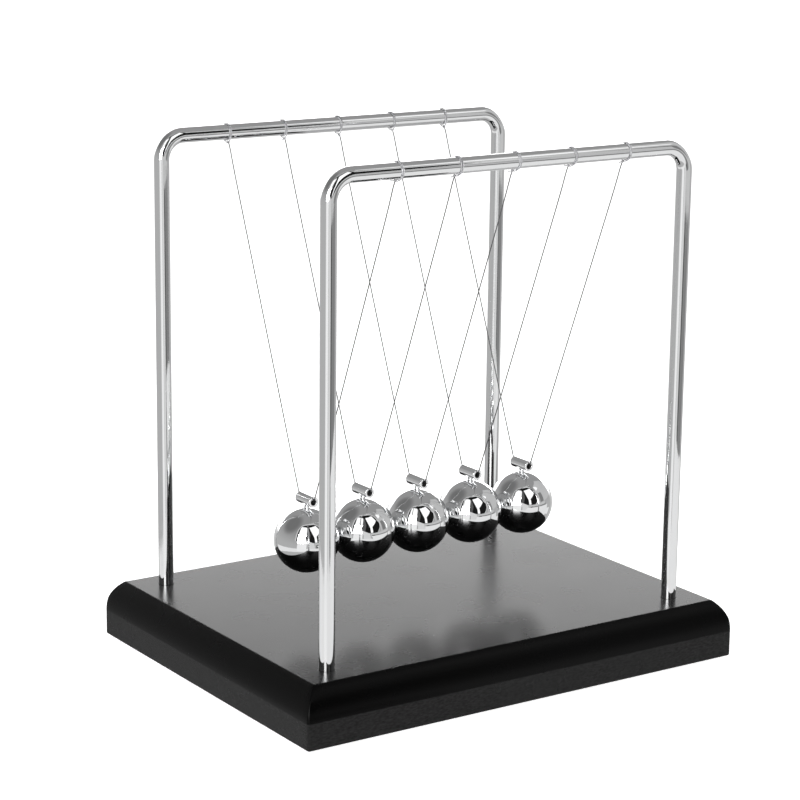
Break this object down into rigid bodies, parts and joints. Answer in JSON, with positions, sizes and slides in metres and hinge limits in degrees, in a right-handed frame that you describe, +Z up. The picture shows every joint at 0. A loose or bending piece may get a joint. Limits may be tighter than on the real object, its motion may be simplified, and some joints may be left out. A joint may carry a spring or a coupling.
{
  "type": "newtons cradle",
  "caption": "Desk cradle: steel balls hung in a row on V-shaped clear lines from two bent chromed rods that stand in a black lacquered board.",
  "frame": {"origin": "on the table under the middle of the board, at the foot pads' lowest faces", "axes": "+X along the row of balls, +Y from the front rod to the rear rod, +Z up"},
  "size_m": [0.17, 0.134, 0.1784],
  "materials": {
    "lacquer": "satin black lacquer",
    "chrome": "mirror polished chrome plate",
    "zinc_steel": "zinc plated",
    "clear_line": "clear nylon line",
    "foam_pad": "matt foam"
  },
  "bodies": {
    "stand": {"base_board": "lacquer", "front_frame": "chrome", "rear_frame": "chrome", "frame_screws": "zinc_steel", "frame_washers": "zinc_steel", "front_loops": "clear_line", "rear_loops": "clear_line", "foot_pad_1": "foam_pad", "foot_pad_2": "foam_pad", "foot_pad_3": "foam_pad", "foot_pad_4": "foam_pad"},
    "pivot_1": {"front_knot_1": "clear_line"},
    "outer_pivot_1": {"rear_knot_1": "clear_line"},
    "pendulum_1": {"ball_1": "chrome", "hanger_tube_1": "chrome", "hanger_stem_1": "chrome", "line_1": "clear_line"},
    "pivot_2": {"rear_knot_2": "clear_line"},
    "pendulum_2": {"ball_2": "chrome", "hanger_tube_2": "chrome", "hanger_stem_2": "chrome", "line_2": "clear_line", "front_knot_2": "clear_line"},
    "pendulum_3": {"ball_3": "chrome", "hanger_tube_3": "chrome", "hanger_stem_3": "chrome", "line_3": "clear_line", "front_knot_3": "clear_line", "rear_knot_3": "clear_line"},
    "pivot_4": {"rear_knot_4": "clear_line"},
    "pendulum_4": {"ball_4": "chrome", "hanger_tube_4": "chrome", "hanger_stem_4": "chrome", "line_4": "clear_line", "front_knot_4": "clear_line"},
    "pivot_5": {"front_knot_5": "clear_line"},
    "outer_pivot_5": {"rear_knot_5": "clear_line"},
    "pendulum_5": {"ball_5": "chrome", "hanger_tube_5": "chrome", "hanger_stem_5": "chrome", "line_5": "clear_line"}
  },
  "joints": [
    {"name": "swing_3", "type": "hinge", "parent": "stand", "child": "pendulum_3", "pos_m": [0, 0, 0.17211], "axis": [0, -1, 0], "range_deg": [-15, 15]},
    {"name": "turn_2", "type": "hinge", "parent": "stand", "child": "pivot_2", "pos_m": [-0.0221, 0, 0.17211], "axis": [0, -1, 0], "range_deg": [-16, 16]},
    {"name": "swing_2", "type": "hinge", "parent": "pivot_2", "child": "pendulum_2", "pos_m": [-0.0221, 0, 0.17211], "axis": [0, -1, 0], "range_deg": [-20, 0]},
    {"name": "turn_4", "type": "hinge", "parent": "stand", "child": "pivot_4", "pos_m": [0.0221, 0, 0.17211], "axis": [0, -1, 0], "range_deg": [-16, 16]},
    {"name": "swing_4", "type": "hinge", "parent": "pivot_4", "child": "pendulum_4", "pos_m": [0.0221, 0, 0.17211], "axis": [0, -1, 0], "range_deg": [0, 20]},
    {"name": "turn_1", "type": "hinge", "parent": "stand", "child": "pivot_1", "pos_m": [-0.0442, 0, 0.17211], "axis": [0, -1, 0], "range_deg": [-16, 16]},
    {"name": "outer_turn_1", "type": "hinge", "parent": "pivot_1", "child": "outer_pivot_1", "pos_m": [-0.0442, 0, 0.17211], "axis": [0, -1, 0], "range_deg": [-21, 1]},
    {"name": "swing_1", "type": "hinge", "parent": "outer_pivot_1", "child": "pendulum_1", "pos_m": [-0.0442, 0, 0.17211], "axis": [0, -1, 0], "range_deg": [-45, 0]},
    {"name": "turn_5", "type": "hinge", "parent": "stand", "child": "pivot_5", "pos_m": [0.0442, 0, 0.17211], "axis": [0, -1, 0], "range_deg": [-16, 16]},
    {"name": "outer_turn_5", "type": "hinge", "parent": "pivot_5", "child": "outer_pivot_5", "pos_m": [0.0442, 0, 0.17211], "axis": [0, -1, 0], "range_deg": [-1, 21]},
    {"name": "swing_5", "type": "hinge", "parent": "outer_pivot_5", "child": "pendulum_5", "pos_m": [0.0442, 0, 0.17211], "axis": [0, -1, 0], "range_deg": [0, 45]}
  ],
  "couplings": [
    {"joint": "turn_2", "follows": "swing_3", "ratio": 1},
    {"joint": "turn_4", "follows": "swing_3", "ratio": 1},
    {"joint": "turn_1", "follows": "swing_3", "ratio": 1},
    {"joint": "outer_turn_1", "follows": "swing_2", "ratio": 1},
    {"joint": "turn_5", "follows": "swing_3", "ratio": 1},
    {"joint": "outer_turn_5", "follows": "swing_4", "ratio": 1}
  ]
}
